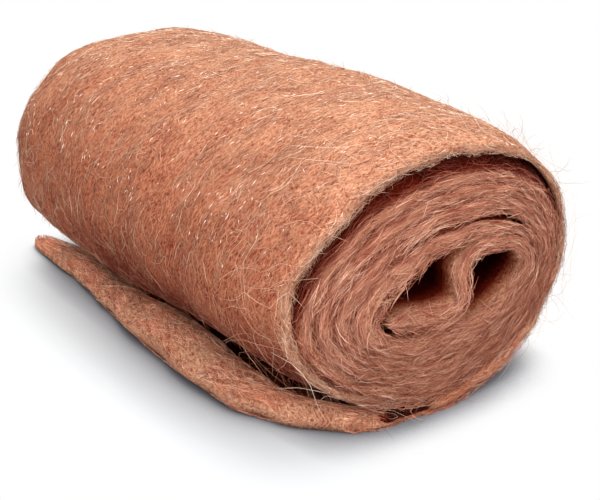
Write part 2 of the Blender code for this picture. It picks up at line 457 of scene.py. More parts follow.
    def tail(self, steps: int, along: Array) -> tuple[Array, Array]:
        """Places the loose end, from its torn edge to the floor contact.

        Args:
            steps: How many rows it gets.
            along: Places across the strip, from -1 to 1.

        Returns:
            The points and the loft at each.
        """
        contact, contact_loft = self.place(self.section(np.array([0.0])), along)
        to_tip = (1 - np.arange(steps) / steps)[:, None]
        along = along[None, :]
        edge = np.interp(along, *zip(*self.tail_edge))
        reach = edge * to_tip
        start, end = self.tail_swell
        swell = smooth_step(reach, np.minimum(start, edge - 0.008), np.minimum(end, edge - 0.003))
        fuller = np.interp(along, *zip(*self.tail_ridge))
        ridge = self.tail_corner_loft + (self.tail_loft - self.tail_corner_loft) * fuller
        loft = self.loft + (ridge - self.loft) * swell
        thin = (1 - self.tail_far_share) * smooth_step(along, 0.5, 1) * smooth_step(to_tip, 0.3, 0.8)
        loft = contact_loft + (loft * (1 - thin) - contact_loft) * smooth_step(to_tip, 0, 0.3)
        y = contact[0, :, 1] + self.tail_retreat * to_tip * (1 - along) / 2
        y += self.tail_wisp * smooth_step(to_tip, 0.78, 0.95) * smooth_step(along, 0.7, 1.0)
        notch = smooth_step(to_tip, 0.2, 0.5) * smooth_step(-to_tip, -0.9, -0.72) * smooth_step(along, 0.75, 1.0)
        y -= self.tail_notch * notch
        return np.stack([-reach, y, loft / 2], -1), loft


@dataclass
class Strip:
    """The strip's surface, read at any place along it and across it."""

    winding: Winding
    tail_rows: int = 40
    fold_rows: int = 70
    row_step: float = 0.0011
    columns: int = 81
    turn_samples: int = 1400
    places: Array = field(init=False)
    points: Array = field(init=False)
    lofts: Array = field(init=False)
    normals: Array = field(init=False)
    across: Array = field(init=False)
    length: Array = field(init=False)
    angles: Array = field(init=False)

    def __post_init__(self) -> None:
        """Lays the surface out in rows along the strip and columns across it."""
        winding = self.winding
        self.places = along = np.linspace(-1, 1, self.columns)
        turn = np.linspace(0, winding.end, self.turn_samples)
        line = winding.section(turn)
        run = np.concatenate([[0.0], np.cumsum(np.hypot(*np.diff(line[:, :2], axis=0).T))])
        rows = round(run[-1] / self.row_step)
        turns = winding.section(np.interp(np.linspace(0, run[-1], rows), run, turn))
        inner = winding.fold(self.fold_rows)
        tail_points, tail_lofts = winding.tail(self.tail_rows, along)
        body_points, body_lofts = winding.place(np.vstack([turns, inner]), along)
        self.points = np.concatenate([tail_points, body_points])
        self.lofts = np.concatenate([tail_lofts, body_lofts])
        self.points[..., 0] += winding.centre_shift[0]
        self.points[..., 1] += winding.centre_shift[1]
        self.points[..., 2] -= winding.press
        self.angles = np.concatenate([np.zeros(self.tail_rows), turns[:, 3], inner[:, 3]])
        middle = self.points[:, len(along) // 2]
        steps = np.linalg.norm(np.diff(middle, axis=0), axis=1)
        self.length = np.concatenate([[0.0], np.cumsum(steps)])
        running = np.gradient(self.points, self.length, axis=0)
        self.across = np.gradient(self.points, along * winding.strip_width / 2, axis=1)
        normals = np.cross(self.across, running)
        self.normals = normals / np.linalg.norm(normals, axis=-1, keepdims=True)
        self.across /= np.linalg.norm(self.across, axis=-1, keepdims=True)

    @property
    def contact(self) -> float:
        """Returns how far along the strip the winding starts, at the floor contact."""
        return float(self.length[self.tail_rows])

    @property
    def full_length(self) -> float:
        """Returns the strip's length."""
        return float(self.length[-1])

    def at_angle(self, angle: float) -> float:
        """Returns how far along the strip a winding angle is, in metres."""
        start, end = self.tail_rows, len(self.angles) - self.fold_rows
        return float(np.interp(angle, self.angles[start:end], self.length[start:end]))

    def between(self, start: float, end: float) -> Span:
        """Returns the span along the strip between two winding angles in degrees."""
        return tuple(self.at_angle(angle) for angle in degrees(start, end))

    def angle_at(self, s: Array) -> Array:
        """Returns the winding angle at each length along the strip."""
        return np.interp(s, self.length, self.angles)

    def read(self, table: Array, s: Array, y: Array) -> Array:
        """Reads one of the surface's tables between its rows and columns.

        Args:
            table: The table, rows by columns and perhaps by three.
            s: Places along the strip, in metres.
            y: Places across it, in metres from its middle.

        Returns:
            The value at each place.
        """
        row = np.interp(s, self.length, np.arange(len(self.length)))
        column = np.interp(y / (self.winding.strip_width / 2), self.places, np.arange(len(self.places)))
        r = np.minimum(row.astype(int), len(self.length) - 2)
        c = np.minimum(column.astype(int), len(self.places) - 2)
        u, v = row - r, column - c
        if table.ndim == 3:
            u, v = u[..., None], v[..., None]
        low = table[r, c] * (1 - v) + table[r, c + 1] * v
        high = table[r + 1, c] * (1 - v) + table[r + 1, c + 1] * v
        return low * (1 - u) + high * u


@dataclass
class Wool:
    """The wool's relief: how its lumps, strands, mouths and ragged edges depart from an even strip.

    Its painted shade, from 0 in the open to 1 deep inside, darkens the wool where shade falls: between turns, in the
    hollow, in the slit and on the lower flank.
    Its mottles are how far neighbouring fibres share a lighter or darker shade.
    """

    strip: Strip
    relief: float = 0.00024
    inner_relief: float = 0.00010
    edge_raggedness: float = 0.00035
    tail_raggedness: float = 0.0006
    tail_lumps: float = 0.0005
    tail_run: float = 0.016
    fullness: float = 1.03
    fill_share: float = 0.92
    groove: float = 0.0005
    open_mouth: float = 0.0050
    lip: float = 0.0012
    lifted: float = 0.0003
    rounded: Span = (0.0050, 0.0025)
    bunched: float = 0.018
    edge_zone: float = 0.0013
    loose_mottle: float = 0.40
    edge_mottle: float = 0.17
    wrap_mottle: float = 0.20
    patch_mottle: float = 0.03
    # Strengths of the painted shade between turns, on the flank and on the flank over the loose end
    turn_painted_shade: float = 0.78
    flank_painted_shade: float = 0.26
    sheltered_painted_shade: float = 0.50

    def __post_init__(self) -> None:
        """Draws the uneven fields."""
        self.strands = Ripple(11, (30, 90), (2.2, 7))
        self.lumps = Ripple(12, (7, 22), (3.5, 12))
        self.ragged = Ripple(13, (9, 34), (30, 90))
        self.torn = Ripple(14, (60, 90), (7, 30))
        self.rope = Ripple(15, (60, 90), (14, 45))
        self.clumps = Ripple(16, (1.5, 5.0), (0.7, 2.1), 44)
        self.patches = Ripple(17, (8, 26), (5, 15))
        self.running = np.gradient(self.strip.points, self.strip.length, axis=0)

    def opened(self, angle: Array) -> Array:
        """Finds how far the gap outside each turn stands open at the ends.

        Args:
            angle: Winding angles from the floor contact.

        Returns:
            The opening at each, from 0 to 1.
        """
        winding = self.strip.winding
        crescent, crease = hump(angle, *winding.crescent), hump(angle, *winding.crease)
        bottom = hump(angle, *degrees(295, 420))
        return smooth_step(np.maximum(np.maximum(crescent, crease), bottom), 0.05, 0.4)

    def filling(self, s: Array, y: Array) -> Array:
        """Finds how far the wool swells into the gap outside it, which is open only at its mouth.

        Args:
            s: Places along the strip.
            y: Places across it.

        Returns:
            The swelling at each, in metres.
        """
        winding = self.strip.winding
        half = winding.strip_width / 2
        angle = self.strip.angle_at(s)
        slack = winding.slack_rise * hump(angle - FULL_TURN, *winding.slack)
        slack = slack * smooth_step(-y / half, 0.2, 1)
        mouth = self.groove + (self.open_mouth - self.groove) * self.opened(angle)
        inside = smooth_step((half - np.abs(y)) / mouth, 0.3, 1.7)
        wound = smooth_step(angle, *degrees(340, 380))
        return (winding.gap_outside(angle) + slack) * self.fill_share * inside * wound

    def lift(self, s: Array, y: Array) -> Array:
        """Finds how far the second turn's outer face lies lower at the near end.

        Args:
            s: Places along the strip.
            y: Places across it.

        Returns:
            The depth at each, in metres.
        """
        along = -y / (self.strip.winding.strip_width / 2)
        low = hump(self.strip.angle_at(s), *degrees(290, 405)) * smooth_step(along, 0.7, 0.97)
        return self.lifted * low

    def shift(self, s: Array, y: Array) -> Array:
        """Finds how far the wool's surface stands off the even strip.

        Args:
            s: Places along the strip.
            y: Places across it.

        Returns:
            The distance outwards at each, in metres.
        """
        angle = self.strip.angle_at(s)
        size = self.inner_relief + (self.relief - self.inner_relief) * (1 - smooth_step(angle, 6.0, 7.0))
        rise = size * (0.3 * self.strands.at(s, y) + 0.5 * self.lumps.at(s, y))
        return rise * smooth_step(s, 0.0, 0.02)

    def loft(self, s: Array, y: Array) -> Array:
        """Returns the wool's thickness at each place, without what swells into the gaps."""
        rope = self.tail_lumps * self.rope.at(np.zeros_like(s), y) * (1 - smooth_step(s, 0.004, 0.014))
        return (self.strip.read(self.strip.lofts, s, y) + rope) * self.fullness - self.lift(s, y)

    def rounding(self, s: Array) -> Array:
        """Finds what is left of the loft where the strip's two ends are rounded off.

        Args:
            s: Places along the strip.

        Returns:
            A share for each.
        """
        start, end = self.rounded
        past = np.clip(1 - np.minimum(s / start, (self.strip.full_length - s) / end), 0, 1)
        return np.sqrt(np.clip(1 - past**2, 0.03, 1))

    def edge(self, s: Array, y: Array) -> Array:
        """Finds how far the wool's ragged long edges stand out past the even strip's.

        Args:
            s: Places along the strip.
            y: Places across it.

        Returns:
            The distance at each, in metres.
        """
        half = self.strip.winding.strip_width / 2
        sides = smooth_step(np.abs(y), 0.7 * half, half)
        ragged = self.edge_raggedness * self.ragged.at(s, np.sign(y) * half) * sides
        first = 1 - smooth_step(self.strip.angle_at(s), *degrees(50, 120))
        return ragged - self.lip * first * smooth_step(-y / half, 0.8, 1.0)

    def torn_end(self, s: Array, y: Array) -> Array:
        """Returns the place along the strip that a place moves to where the loose end is torn unevenly."""
        share = np.clip(1 - s / self.tail_run, 0, 1)
        return s + self.tail_raggedness * self.torn.at(np.zeros_like(s), y) * share

    def mottling(self, s: Array, y: Array, face: Array) -> Array:
        """Finds how much lighter the fibres are where they share their shade with their neighbours.

        Args:
            s: Places along the strip.
            y: Places across it.
            face: Places through the mat, from -1 to 1.

        Returns:
            What to add to the fibres' shade.
        """
        loose = s < self.strip.contact - self.bunched
        edge = (np.abs(y) > self.strip.winding.strip_width / 2 - self.edge_zone) & ~loose
        along = np.where(loose, y, np.where(edge, 0.4 * s, s))
        across = np.where(loose, s, np.where(edge, self.edge_zone * face, y))
        strength = np.where(loose, self.loose_mottle, np.where(edge, self.edge_mottle, self.wrap_mottle))
        return strength * self.clumps.at(along, across) + self.patch_mottle * self.patches.at(s, y)

    def painted_shade(self, s: Array, y: Array, face: Array) -> Array:
        """Finds how much painted shade a place gets: between turns, in the hollow, in the slit and on the lower
        flank.

        Args:
            s: Places along the strip.
            y: Places across it.
            face: 1 on the outer face and -1 on the inner face.

        Returns:
            0 in the open, up to 1 deep inside the roll.
        """
        strip = self.strip
        half = strip.winding.strip_width / 2
        angle = strip.angle_at(s)
        from_mouth = half - np.abs(y)
        # Painted shade between the turns and, further in, in the hollow
        turns = self.turn_painted_shade * smooth_step(from_mouth, -0.0004, 0.0034)
        hollow = smooth_step(from_mouth, 0.0002, 0.0070)
        inward = strip.winding.end - np.radians([330, 290])
        wound = turns + (hollow - turns) * smooth_step(angle, *inward)
        outer = np.where(s < strip.contact, 0.0, smooth_step(angle, *degrees(350, 372)) * wound)
        # Painted shade on the flank, growing from the top down, with more just above the loose end towards the near
        # end
        flank = self.flank_painted_shade * smooth_step(angle, *degrees(175, 262))
        sheltered = smooth_step(angle, *degrees(256, 294)) * smooth_step(-y, -0.042, 0.010)
        flank = flank + self.sheltered_painted_shade * sheltered
        flank = flank * (1 - smooth_step(angle, *degrees(345, 372))) * smooth_step(from_mouth, 0.0002, 0.0018)
        # Painted shade in the slit between the loose end and the flank, away from the far end
        slit = smooth_step(s, strip.contact - 0.0212, strip.contact - 0.0180) * smooth_step(-y, -0.034, -0.020)
        return np.where(face > 0, np.maximum(outer, flank), np.where(s < strip.contact, slit, wound))

    def spot(self, s: Array, y: Array, face: Array, off: Array) -> tuple[Array, Array]:
        """Finds points on the wool.

        Args:
            s: Places along the strip.
            y: Places across it; a place past an edge is carried straight on.
            face: 1 on the outer face, -1 on the inner face, and anything between inside the mat.
            off: How far off the surface, in metres, along its normal.

        Returns:
            The points, and the surface's normal at each.
        """
        strip = self.strip
        half = strip.winding.strip_width / 2
        s = self.torn_end(s, y)
        inside = np.clip(y, -half, half)
        start = np.clip(s, 0, strip.full_length)
        points = strip.read(strip.points, start, inside)
        normals = strip.read(strip.normals, start, inside)
        normals /= np.linalg.norm(normals, axis=-1, keepdims=True)
        across = strip.read(strip.across, start, inside)
        filled = self.filling(start, inside)
        loft = self.loft(start, inside) * self.rounding(start)
        rise = face * loft / 2 + off + self.shift(start, inside) + filled * (0.5 + face / 2)
        rise = rise - self.lift(start, inside) / 2
        past = y - inside + self.edge(start, y)
        points = points + normals * rise[..., None] + across * past[..., None]
        running = strip.read(self.running, start, inside)
        return points + running * (s - start)[..., None], normals


def new_mesh_piece(name: str, points: Array, faces: Array | list) -> Object:
    """Makes a mesh object and links it to the scene.

    Args:
        name: The object's name.
        points: Its vertices.
        faces: Its faces, as lists of vertex numbers.

    Returns:
        The new object.
    """
    mesh = bpy.data.meshes.new(name)
    faces = np.asarray(faces)
    mesh.vertices.add(len(points))
    mesh.vertices.foreach_set("co", points.astype(np.float32).ravel())
    mesh.loops.add(faces.size)
    mesh.loops.foreach_set("vertex_index", faces.astype(np.int32).ravel())
    mesh.polygons.add(len(faces))
    mesh.polygons.foreach_set("loop_start", np.arange(0, faces.size, faces.shape[1], dtype=np.int32))
    mesh.update(calc_edges=True)
    piece = bpy.data.objects.new(name, mesh)
    bpy.context.scene.collection.objects.link(piece)
    return piece


@dataclass(frozen=True)
class Copper:
    """What the copper finishes share: uncoated metal, so fine and so tangled that it hardly shines as a whole."""

    name: str
    metallic: float
    roughness: float
    sheen: float = 0.05
    sheen_tint: str = "f4c8aa"
    specular: float = 0.06
    ior: float = 1.15

    def start(self) -> tuple[Material, NodeTree, Node]:
        """Makes the material, with the values that are even all over it.

        Returns:
            The material, its nodes and its shader.
        """
        material = bpy.data.materials.new(self.name)
        material.use_nodes = True
        shader = material.node_tree.nodes["Principled BSDF"]
        even = {
            "Metallic": self.metallic, "Roughness": self.roughness, "Specular IOR Level": self.specular,
            "IOR": self.ior, "Sheen Weight": self.sheen, "Sheen Tint": linear(self.sheen_tint),
        }
        for name, value in even.items():
            shader.inputs[name].default_value = value
        return material, material.node_tree, shader


@dataclass(frozen=True)
class MattedCopperWool(Copper):
    """Fine copper wool, shaved from wire and matted: dull as a whole, with painted shade, deep red, where shade
    falls.

    Each of headings is how far streaks run off the strip's length, in degrees, and their share of run_mm.
    """

    name: str = "matted_copper_wool"
    metallic: float = 0.1
    roughness: float = 0.65
    shade: str = "743628"
    face: str = "be9074"
    # Painted shade: colours that the wool is multiplied by as its painted shade deepens, redder first, then darker,
    # then near black
    reddened: str = "cea497"
    dim: str = "80392b"
    painted_shade: str = "38120b"
    fibre_mm: float = 0.40
    run_mm: float = 1.5
    headings: Table = ((4, 1.0), (38, 0.6), (-44, 0.6))
    patch_mm: float = 9
    patch_share: float = 0.22
    relief_mm: float = 0.3
    relief_strength: float = 0.7

    def streaks(self, tree: NodeTree, place: NodeSocket, turn: float, run_mm: float) -> NodeSocket:
        """Adds streaks that run one way over the strip.

        Args:
            tree: The material's nodes.
            place: The place on the strip, in metres.
            turn: The streaks' heading off the strip's length, in degrees.
            run_mm: Their length.

        Returns:
            How bright they are.
        """
        laid = add_node(
            tree, "ShaderNodeMapping", {"vector_type": "TEXTURE"}, Vector=place,
            Rotation=(0, 0, math.radians(turn)), Scale=(run_mm * MM, self.fibre_mm * MM, 1),
        ).outputs["Vector"]
        noise = add_node(tree, "ShaderNodeTexNoise", Vector=laid, Scale=1.0, Detail=2.0, Distortion=0.5)
        return noise.outputs["Fac"]

    def build(self) -> Material:
        """Makes the material.

        Its streaks follow the strip's own map, so that they run with the fibres all the way round. Real fibres
        are about 0.06 mm wide, too fine to show, so the streaks are drawn wider.

        Returns:
            The material.
        """
        material, tree, shader = self.start()
        place = add_node(tree, "ShaderNodeUVMap", {"uv_map": "strip"}).outputs["UV"]
        along, *crossed = (self.streaks(tree, place, turn, share * self.run_mm) for turn, share in self.headings)
        matted = maths(tree, "MAXIMUM", along, maths(tree, "MAXIMUM", *crossed))
        patches = add_node(tree, "ShaderNodeTexNoise", Vector=place, Scale=1 / (self.patch_mm * MM), Detail=2.0)
        mixed = maths(tree, "MULTIPLY_ADD", patches.outputs["Fac"], self.patch_share, matted)
        wool = colour_ramp(tree, mixed, (0.54, self.shade), (0.80, self.face))
        # Painted shade: the painted_shade attribute multiplies the wool darker and redder and fades its sheen
        depth = add_node(tree, "ShaderNodeAttribute", {"attribute_name": "painted_shade"}).outputs["Fac"]
        painted_shade_tint = colour_ramp(tree, depth, (0.0, "ffffff"), (0.3, self.reddened), (0.65, self.dim), (1.0, self.painted_shade))
        multiplied = {"data_type": "RGBA", "blend_type": "MULTIPLY"}
        deep = add_node(tree, "ShaderNodeMix", multiplied, Factor_0=1.0, A_6=wool, B_7=painted_shade_tint)
        velvet = add_node(
            tree, "ShaderNodeMapRange", Value=depth, From_Min=0.0, From_Max=0.5, To_Min=self.sheen, To_Max=0.0
        )
        relief = add_node(
            tree, "ShaderNodeBump", Height=matted, Distance=self.relief_mm * MM, Strength=self.relief_strength
        )
        tree.links.new(deep.outputs[2], shader.inputs["Base Color"])
        tree.links.new(relief.outputs["Normal"], shader.inputs["Normal"])
        tree.links.new(velvet.outputs["Result"], shader.inputs["Sheen Weight"])
        return material


@dataclass(frozen=True)
class CopperFibre(Copper):
    """Single copper wool fibres: bright shaved copper, each a little lighter or browner than the next."""

    name: str = "copper_fibre"
    metallic: float = 0.15
    roughness: float = 0.55
    # Painted shade and highlight: the darkest stop is for fibres in painted shade, the palest is a painted glint
    painted_shade: str = "33100a"
    dark: str = "824534"
    middle: str = "b48b73"
    light: str = "e8cfba"
    bare: str = "fdf1e4"

    def build(self) -> Material:
        """Makes the material, whose colour each fibre picks with its own shade attribute.

        Returns:
            The material.
        """
        material, tree, shader = self.start()
        shade = add_node(tree, "ShaderNodeAttribute", {"attribute_name": "shade"}).outputs["Fac"]
        stops = (0.0, self.painted_shade), (0.22, self.dark), (0.52, self.middle), (0.88, self.light), (1.0, self.bare)
        tree.links.new(colour_ramp(tree, shade, *stops), shader.inputs["Base Color"])
        return material


@dataclass
class MattedStrip:
    """The body of the roll: the strip as one thick matted sheet, wound with its turns close together."""

    wool: Wool
    finish: MattedCopperWool
    row_step: float = 0.0015
    columns: int = 34
    rim: float = 0.0011
    map_margin: float = 0.01

    def stations(self) -> Array:
        """Places the sheet's columns, close together near its two edges.

        Returns:
            Their places across the strip.
        """
        half = self.wool.strip.winding.strip_width / 2
        inner = half - self.rim
        middle = inner * np.sin(np.linspace(-math.pi / 2, math.pi / 2, self.columns))
        edge = inner + self.rim * np.sin(np.radians([30, 55, 75, 90]))
        return np.concatenate([-edge[::-1], middle, edge])

    def build(self) -> Object:
        """Models the sheet as a grid that is wound up and then given its loft.

        Returns:
            The finished piece.
        """
        strip = self.wool.strip
        half = strip.winding.strip_width / 2
        y = self.stations()
        s = np.linspace(0, strip.full_length, round(strip.full_length / self.row_step))
        bpy.ops.object.select_all(action="DESELECT")
        bpy.ops.mesh.primitive_grid_add(x_subdivisions=len(y) - 1, y_subdivisions=len(s) - 1, size=1)
        sheet = bpy.context.active_object
        sheet.name = sheet.data.name = "matted_strip"
        flat = read_points(sheet.data)
        wide = y[np.rint((flat[:, 0] + 0.5) * (len(y) - 1)).astype(int)]
        long = s[np.rint((flat[:, 1] + 0.5) * (len(s) - 1)).astype(int)]
        centre, _ = self.wool.spot(long, wide, np.zeros(len(wide)), np.zeros(len(wide)))
        sheet.data.vertices.foreach_set("co", centre.astype(np.float32).ravel())
        rim = np.clip((np.abs(wide) - (half - self.rim)) / self.rim, 0, 1)
        loft = self.wool.loft(long, wide) + self.wool.filling(long, wide)
        loft = loft * np.sqrt(np.clip(1 - rim**2, 0.02, 1)) * self.wool.rounding(long)
        self.thicken(sheet, loft)
        self.mark_painted_shade(sheet, long, wide, centre)
        self.press(sheet)
        self.map_strip(sheet, s, y)
        sheet.data.shade_smooth()
        sheet.data.materials.append(self.finish.build())
        return sheet

    @staticmethod
    def thicken(sheet: Object, loft: Array) -> None:
        """Gives the sheet its thickness, half to each side.

        Args:
            sheet: The thin sheet, wound up.
            loft: The thickness at each of its vertices.
        """
        group = sheet.vertex_groups.new(name="loft")
        thickest = float(loft.max())
        for place, weight in enumerate(loft / thickest):
            group.add([place], float(weight), "REPLACE")
        thicken = sheet.modifiers.new("loft", "SOLIDIFY")
        thicken.thickness = thickest
        thicken.offset = 0
        thicken.vertex_group = "loft"
        thicken.use_even_offset = False
        bpy.context.view_layer.objects.active = sheet
        bpy.ops.object.modifier_apply(modifier="loft")

    def mark_painted_shade(self, sheet: Object, long: Array, wide: Array, centre: Array) -> None:
        """Marks the painted shade at each vertex, deep inside the roll and on the lower flank, for the material.

        Args:
            sheet: The thickened sheet.
            long: The thin sheet's places along the strip.
            wide: Its places across the strip.
            centre: Its points.
        """
        sides = read_points(sheet.data).reshape(2, -1, 3)
        normals = self.wool.strip.read(self.wool.strip.normals, long, wide)
        face = np.sign(((sides - centre[None]) * normals[None]).sum(-1))
        long, wide = np.broadcast_to(long, face.shape), np.broadcast_to(wide, face.shape)
        depth = sheet.data.attributes.new("painted_shade", "FLOAT", "POINT")
        depth.data.foreach_set("value", self.wool.painted_shade(long, wide, face).astype(np.float32).ravel())

    def map_strip(self, sheet: Object, s: Array, y: Array) -> None:
        """Gives the sheet two maps.

        The map "strip" is in metres along and across the surface, and turned on the bunched-up loose end, whose
        fibres run across. The map "OFBake" lays each face in two bands, one for each half of its length.

        Args:
            sheet: The thickened sheet.
            s: The rows' places along the strip.
            y: The columns' places across it.
        """
        count = len(sheet.data.vertices)
        rows = read_points(sheet.data).reshape(2, len(s), len(y), 3)
        contact = self.wool.strip.contact
        loose = int(np.searchsorted(s, contact))
        step = np.linalg.norm(np.diff(rows[:, : loose + 1], axis=1), axis=-1)
        before = np.flip(np.cumsum(np.flip(step, axis=1), axis=1), axis=1)
        long = np.broadcast_to(s[None, :, None], rows.shape[:3]).copy()
        long[:, :loose] = s[loose] - before
        step = np.linalg.norm(np.diff(rows, axis=2), axis=-1)
        wide = np.concatenate([np.zeros_like(long[..., :1]), np.cumsum(step, axis=2)], axis=2)
        wide -= wide[..., len(y) // 2 : len(y) // 2 + 1]
        corners = np.empty(len(sheet.data.loops), np.int32)
        sheet.data.loops.foreach_get("vertex_index", corners)
        corners = corners.reshape(-1, 4)
        plain = np.stack([long.reshape(-1)[corners], wide.reshape(-1)[corners]], -1)
        row = (corners % (count // 2)) // len(y)
        bunched = (s[row].mean(1) < contact - self.wool.bunched)[:, None, None]
        layer = sheet.data.uv_layers.new(name="strip")
        layer.data.foreach_set("uv", np.where(bunched, plain[..., ::-1], plain).astype(np.float32).ravel())
        half_length = s[-1] / 2
        later = s[row].mean(1, keepdims=True) > half_length
        band = 2 * (corners[:, :1] >= count // 2) + later
        edge = self.map_margin
        u = edge + (1 - 2 * edge) * (s[row] - later * half_length) / half_length
        v = band / 4 + edge + (1 / 4 - 2 * edge) * (corners % len(y)) / (len(y) - 1)
        baked = sheet.data.uv_layers.new(name="OFBake")
        baked.data.foreach_set("uv", np.stack([u, v], -1).astype(np.float32).ravel())

    @staticmethod
    def press(sheet: Object) -> None:
        """Presses the sheet's underside flat on the bench.

        Args:
            sheet: The thickened sheet.
        """
        places = read_points(sheet.data)
        places[:, 2] = np.maximum(places[:, 2], 0.0)
        sheet.data.vertices.foreach_set("co", places.ravel())
        sheet.data.update()


class Place(Enum):
    """Where fibres lie, which picks their copy of the fibre colour: painted shade, redder and darker, on the ends,
    and painted light, lighter and redder, on the loose end.
    """

    OPEN = "open"
    END = "end"
    SHELTERED = "sheltered"


@dataclass
class FibreLayer:
    """Many single fibres laid on one part of the wool, each a fine tube with three sides.

    Real fibres are about 0.06 mm thick, too fine to show at this size, so most are drawn two or three times as
    thick. Headings are off the strip's length, in degrees; face is as in Wool.spot.
    """

    wool: Wool
    name: str
    seed: int
    count: int
    s_range: Span
    y_range: Span
    face_range: Span = (1.0, 1.0)
    face_drift: float = 0.0
    both_faces: bool = False
    place: Place = Place.OPEN
    length_mm: Span = (5.0, 14.0)
    thick_mm: Span = (0.08, 0.15)
    main_heading: float = 0.0
    heading: float = 15.0
    wild_share: float = 0.2
    wild_heading: float = 80.0
    off_mm: Span = (-0.16, 0.10)
    lift_mm: float = 0.2
    free_end_mm: float = 0.0
    bow_mm: float = 0.8
    steps: int = 4
    shade: Span = (0.50, 0.15)
    # Share of fibres given the painted glint colour
    bare_share: float = 0.0
    past_edge_mm: float = 0.4

    def routes(self, draw: np.random.Generator) -> tuple[Array, Array, Array, Array]:
        """Draws where each fibre runs.

        Args:
            draw: The random generator.

        Returns:
            Places along and across the strip, the face, and the height off it, each fibres by points.
        """
        count, t = self.count, np.linspace(-0.5, 0.5, self.steps + 1)[None, :]
        length = draw.uniform(*self.length_mm, (count, 1)) * MM
        s0 = draw.uniform(*self.s_range, (count, 1))
        y0 = draw.uniform(*self.y_range, (count, 1))
        tangled = 1 + 1.6 * hump(self.wool.strip.angle_at(s0), *degrees(200, 370))
        turn = draw.normal(self.main_heading, self.heading, (count, 1))
        wild = draw.random((count, 1)) < self.wild_share * tangled
        turn = np.radians(np.where(wild, draw.uniform(-self.wild_heading, self.wild_heading, (count, 1)), turn))
        bow = draw.normal(0, self.bow_mm, (count, 1)) * MM
        wave = draw.normal(0, 0.35 * self.bow_mm, (count, 1)) * MM
        waviness, phase = draw.uniform(5, 11, (count, 1)), draw.uniform(0, 6, (count, 1))
        sway = bow * (4 * t**2 - 0.33) + wave * np.sin(t * waviness + phase)
        s = np.maximum(s0 + length * t * np.cos(turn) - sway * np.sin(turn), 0.0001)
        y = y0 + length * t * np.sin(turn) + sway * np.cos(turn)
        reach = self.wool.strip.winding.strip_width / 2 + self.past_edge_mm * MM
        y = np.clip(y, -reach, reach)
        base = draw.uniform(*self.off_mm, (count, 1)) * MM
        lift = np.abs(draw.normal(0, self.lift_mm, (count, 1))) * MM
        middle = draw.random((count, 1)) < 0.5
        off = base + lift * np.where(middle, 1 - 4 * t**2, 4 * t**2)
        off = off + draw.uniform(0.3, 1.0, (count, 1)) * self.free_end_mm * MM * (t + 0.5) ** 2
        face = draw.uniform(*self.face_range, (count, 1)) + draw.normal(0, self.face_drift, (count, 1)) * t
        if self.both_faces:
            face = face * draw.choice([-1.0, 1.0], (count, 1))
        return s, y, np.broadcast_to(face, s.shape), off

    def build(self, finish: Material) -> Object:
        """Makes the layer's fibres as one piece.

        Args:
            finish: The fibres' material.

        Returns:
            The finished piece.
        """
        draw = np.random.default_rng(self.seed)
        s, y, face, off = self.routes(draw)
        lines, normals = self.wool.spot(s, y, face, off)
        thick = draw.uniform(*self.thick_mm, self.count) * MM
        s, y, face = (places[:, self.steps // 2] for places in (s, y, face))
        shade = np.clip(draw.normal(*self.shade, self.count) + self.wool.mottling(s, y, face), 0.1, 0.92)
        # Painted shade: fibres are darker where the wool under them is in painted shade
        shade *= 1 - 0.9 * self.wool.painted_shade(s, y, np.sign(face))
        shade = np.where(draw.random(self.count) < self.bare_share, 1.0, shade)
        return draw_fibres(self.name, lines, normals, thick, shade, finish)


def draw_fibres(name: str, lines: Array, normals: Array, thick: Array, shade: Array, finish: Material) -> Object:
    """Makes fibres as fine three-sided tubes that narrow to both ends.

    Args:
        name: The piece's name.
        lines: The fibres' middle lines, fibres by points by three.
        normals: A direction across each line at each point.
        thick: Each fibre's thickness, in metres.
        shade: Each fibre's shade, from 0, deepest painted shade, to 1, a painted glint.
        finish: The fibres' material.

    Returns:
        The finished piece.
    """
    count, points = lines.shape[:2]
    lines = lines.copy()
    lines[..., 2] = np.maximum(lines[..., 2], thick[:, None] / 2)
    running = np.gradient(lines, axis=1)
    running /= np.linalg.norm(running, axis=-1, keepdims=True) + 1e-12
    side = np.cross(running, normals)
    side /= np.linalg.norm(side, axis=-1, keepdims=True) + 1e-12
    up = np.cross(side, running)
    taper = np.clip(1.15 - np.abs(np.linspace(-1, 1, points)) ** 4, 0.25, 1.0)
    radius = thick[:, None] / 2 * taper[None, :]
    corner = np.radians([90, 210, 330])
    ring = side[:, :, None] * np.cos(corner)[:, None] + up[:, :, None] * np.sin(corner)[:, None]
    verts = lines[:, :, None] + ring * radius[:, :, None, None]
    start = (np.arange(count) * points * 3)[:, None, None]
    step = (np.arange(points - 1) * 3)[None, :, None]
    here, after = np.arange(3)[None, None, :], (np.arange(3)[None, None, :] + 1) % 3
    base = start + step
    quads = np.stack([base + here, base + after, base + 3 + after, base + 3 + here], -1).reshape(-1, 4)
    first = start[:, 0] + np.array([[2, 1, 0]])
    last = start[:, 0] + 3 * (points - 1) + np.array([[0, 1, 2]])
    faces = np.concatenate([quads[:, [0, 1, 2]], quads[:, [0, 2, 3]], first, last])
    piece = new_mesh_piece(name, verts.reshape(-1, 3), faces)
    cells = math.ceil(math.sqrt(count))
    row, column = np.divmod(np.arange(count), cells)
    filled = 1 - 2 * CELL_MARGIN
    u = (column[:, None] + CELL_MARGIN + filled * np.linspace(0, 1, points)[None, :]) / cells
    v = (row[:, None] + CELL_MARGIN + filled * np.linspace(0, 1, 3)[None, :]) / cells
    cell = np.stack(np.broadcast_arrays(u[:, :, None], v[:, None, :]), -1).reshape(-1, 2)
    baked = piece.data.uv_layers.new(name="OFBake")
    baked.data.foreach_set("uv", cell[faces.ravel()].astype(np.float32).ravel())
    tint = piece.data.attributes.new("shade", "FLOAT", "POINT")
    tint.data.foreach_set("value", np.repeat(shade, points * 3).astype(np.float32))
    piece.data.shade_smooth()
    piece.data.materials.append(finish)
    return piece


